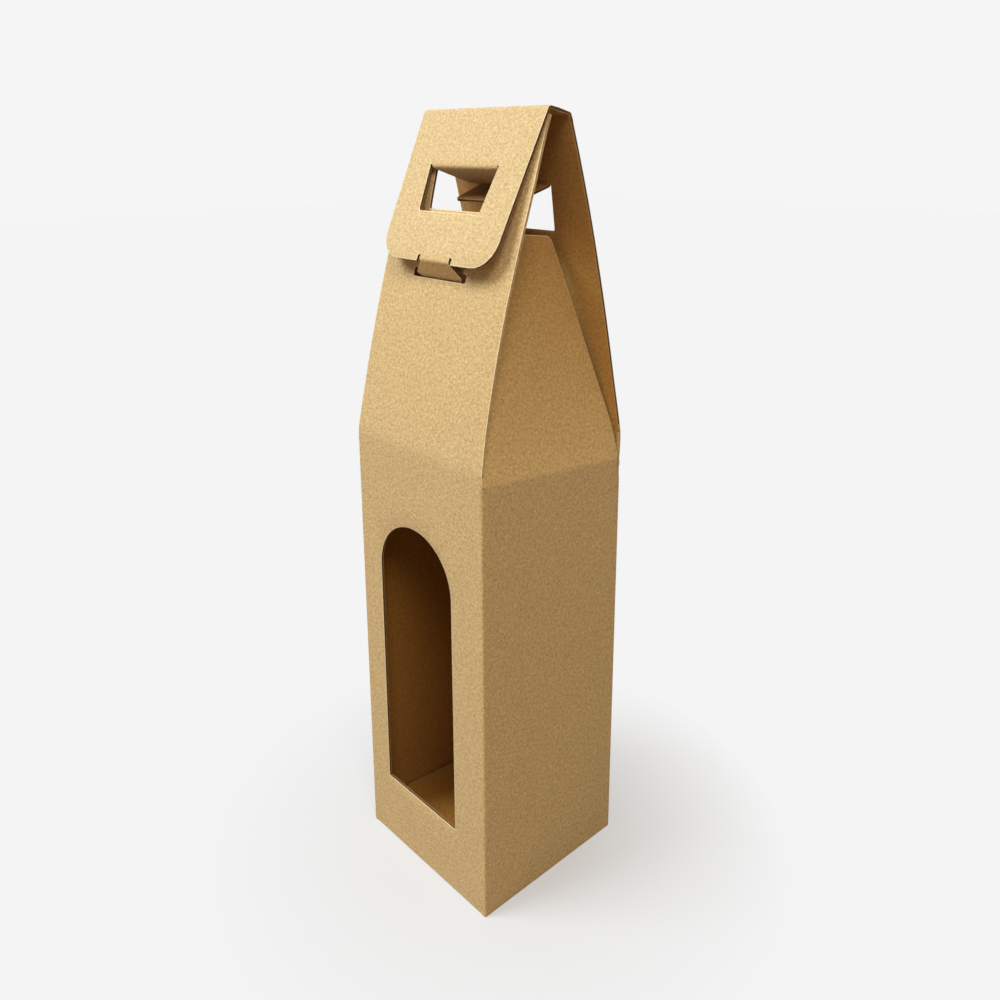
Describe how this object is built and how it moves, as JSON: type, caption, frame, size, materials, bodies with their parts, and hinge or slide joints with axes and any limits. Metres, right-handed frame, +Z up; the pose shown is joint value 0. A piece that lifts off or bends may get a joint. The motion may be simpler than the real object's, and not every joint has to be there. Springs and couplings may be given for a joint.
{
  "type": "wine_box",
  "caption": "Kraft corrugated wine bottle carton with an arched window, a gable top, a locking lid flap and a cut-through carry handle",
  "frame": {"origin": "middle of the base, on the plane that the box stands on", "axes": "+X to the right as seen from the window side, +Y from the window side to the back, +Z up from the base to the ridge"},
  "size_m": [0.085, 0.085, 0.3525],
  "materials": {
    "kraft_board": "matt natural kraft"
  },
  "bodies": {
    "tube": {"front_panel": "kraft_board", "right_panel": "kraft_board", "back_panel": "kraft_board", "left_panel": "kraft_board", "glue_flap": "kraft_board", "front_gable_panel": "kraft_board", "back_gable_panel": "kraft_board"},
    "spine": {"ridge_spine": "kraft_board"},
    "lid": {"lid_panel": "kraft_board"},
    "tongue": {"lid_lock_tongue": "kraft_board"},
    "lid_handle": {"lid_handle_flap": "kraft_board"},
    "front_handle": {"front_handle_flap": "kraft_board"},
    "back_handle": {"back_handle_flap": "kraft_board"},
    "left_gusset": {"left_gusset_flap": "kraft_board"},
    "right_gusset": {"right_gusset_flap": "kraft_board"},
    "bottom_front": {"bottom_front_flap": "kraft_board"},
    "bottom_tab": {"bottom_lock_tab": "kraft_board"},
    "bottom_left": {"bottom_left_flap": "kraft_board"},
    "bottom_right": {"bottom_right_flap": "kraft_board"},
    "bottom_back": {"bottom_back_flap": "kraft_board"}
  },
  "joints": [
    {"name": "spine_fold", "type": "hinge", "parent": "tube", "child": "spine", "pos_m": [0, 0.0099, 0.3496], "axis": [-1, 0, 0], "range_deg": [0, 30]},
    {"name": "lid_open", "type": "hinge", "parent": "spine", "child": "lid", "pos_m": [0, -0.002, 0.3525], "axis": [-1, 0, 0], "range_deg": [0, 150]},
    {"name": "tongue_fold", "type": "hinge", "parent": "lid", "child": "tongue", "pos_m": [-0.001, -0.0295, 0.29139], "axis": [-1, 0, 0], "range_deg": [0, 60]},
    {"name": "lid_handle_fold", "type": "hinge", "parent": "lid", "child": "lid_handle", "pos_m": [0, -0.01167, 0.32875], "axis": [-1, 0, 0], "range_deg": [0, 60]},
    {"name": "front_handle_fold", "type": "hinge", "parent": "tube", "child": "front_handle", "pos_m": [0, -0.00771, 0.32997], "axis": [-1, 0, 0], "range_deg": [0, 54]},
    {"name": "back_handle_fold", "type": "hinge", "parent": "tube", "child": "back_handle", "pos_m": [0, 0.01664, 0.32067], "axis": [1, 0, 0], "range_deg": [0, 84]},
    {"name": "left_gusset_fold", "type": "hinge", "parent": "tube", "child": "left_gusset", "pos_m": [-0.041, 0, 0.202], "axis": [0, 0.9956, -0.0937], "range_deg": [0, 11]},
    {"name": "right_gusset_fold", "type": "hinge", "parent": "tube", "child": "right_gusset", "pos_m": [0.041, 0, 0.202], "axis": [0, -0.9956, 0.0937], "range_deg": [0, 11]},
    {"name": "bottom_open", "type": "hinge", "parent": "tube", "child": "bottom_front", "pos_m": [0, -0.041, 0], "axis": [-1, 0, 0], "range_deg": [0, 100]},
    {"name": "bottom_tab_fold", "type": "hinge", "parent": "bottom_front", "child": "bottom_tab", "pos_m": [0, 0.01502, 0.0015], "axis": [-1, 0, 0], "range_deg": [0, 24]},
    {"name": "bottom_left_fold", "type": "hinge", "parent": "tube", "child": "bottom_left", "pos_m": [-0.041, 0, 0.0018], "axis": [0, 1, 0], "range_deg": [0, 75]},
    {"name": "bottom_right_fold", "type": "hinge", "parent": "tube", "child": "bottom_right", "pos_m": [0.041, 0, 0.0018], "axis": [0, -1, 0], "range_deg": [0, 75]},
    {"name": "bottom_back_fold", "type": "hinge", "parent": "tube", "child": "bottom_back", "pos_m": [0, 0.041, 0.0051], "axis": [-1, 0, 0], "range_deg": [0, 72]}
  ],
  "couplings": [
    {"joint": "spine_fold", "follows": "lid_open", "ratio": 0.2},
    {"joint": "tongue_fold", "follows": "lid_open", "ratio": 0.4},
    {"joint": "front_handle_fold", "follows": "lid_handle_fold", "ratio": 0.9},
    {"joint": "back_handle_fold", "follows": "lid_handle_fold", "ratio": 1.4},
    {"joint": "bottom_left_fold", "follows": "bottom_open", "ratio": 0.75},
    {"joint": "bottom_right_fold", "follows": "bottom_open", "ratio": 0.75}
  ]
}
